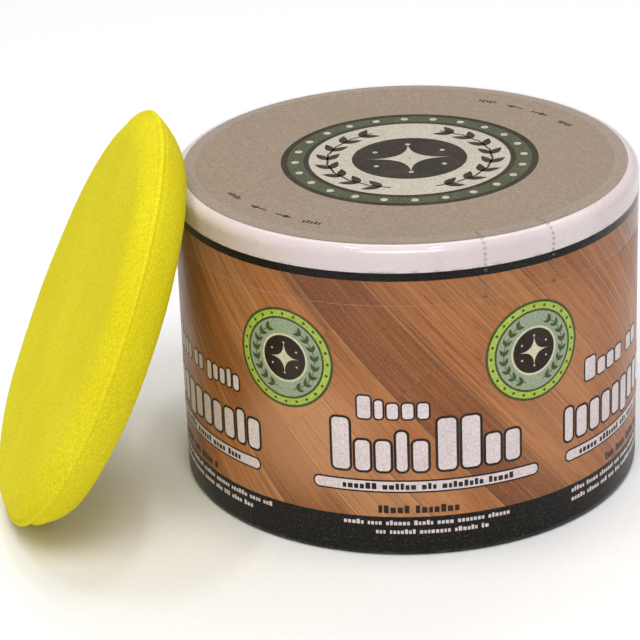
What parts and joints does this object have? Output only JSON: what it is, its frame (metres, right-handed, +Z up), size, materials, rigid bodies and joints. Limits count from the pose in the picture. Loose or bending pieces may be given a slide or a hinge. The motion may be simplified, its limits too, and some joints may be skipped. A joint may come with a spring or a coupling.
{
  "type": "paste wax tin with applicator pad",
  "caption": "Round, low tin with a twist-off lid under a clear perforated shrink band, printed wood-grain sleeve, solid wax inside, and a lens-shaped foam pad leaning on its edge.",
  "frame": {"origin": "centre of the tin's base, on the plane that it stands on", "axes": "+Z up along the tin's axis; the foam pad leans on the tin's -X side; -Y is the front, where the main panel of the printed sleeve is"},
  "size_m": [0.1518, 0.1222, 0.0918],
  "materials": {
    "tinplate": "satin",
    "sleeve_print": "satin",
    "wax": "satin",
    "liner": "matte",
    "lid_enamel": "gloss",
    "card_print": "matte",
    "clear_film": "gloss",
    "foam": "matte"
  },
  "bodies": {
    "tin": {"tin_body": "tinplate", "printed_sleeve": "sleeve_print", "wax": "wax"},
    "liner": {"lid_liner": "liner"},
    "lid": {"lid_shell": "lid_enamel", "lid_card": "card_print"},
    "band": {"shrink_band": "clear_film"},
    "strip": {"tear_strip": "clear_film"},
    "pad": {"applicator_pad": "foam"}
  },
  "joints": [
    {"name": "lid_lift", "type": "slide", "parent": "tin", "child": "liner", "axis": [0, 0, 1], "range_m": [0, 0.03]},
    {"name": "lid_turn", "type": "hinge", "parent": "liner", "child": "lid", "pos_m": [0, 0, 0], "axis": [0, 0, 1], "range_deg": [0, 360]},
    {"name": "band_lift", "type": "slide", "parent": "lid", "child": "band", "axis": [0, 0, 1], "range_m": [0, 0.021]},
    {"name": "strip_pull", "type": "slide", "parent": "band", "child": "strip", "axis": [0.4226, -0.9063, 0], "range_m": [0, 0.03]},
    {"name": "pad_away", "type": "slide", "parent": "tin", "child": "pad", "axis": [-0.9917, -0.1288, 0], "range_m": [0, 0.06]}
  ],
  "couplings": [
    {"joint": "lid_turn", "follows": "lid_lift", "rad_per_m": 209.44},
    {"joint": "band_lift", "follows": "lid_lift", "ratio": 0.7},
    {"joint": "pad_away", "follows": "lid_lift", "ratio": 2}
  ]
}
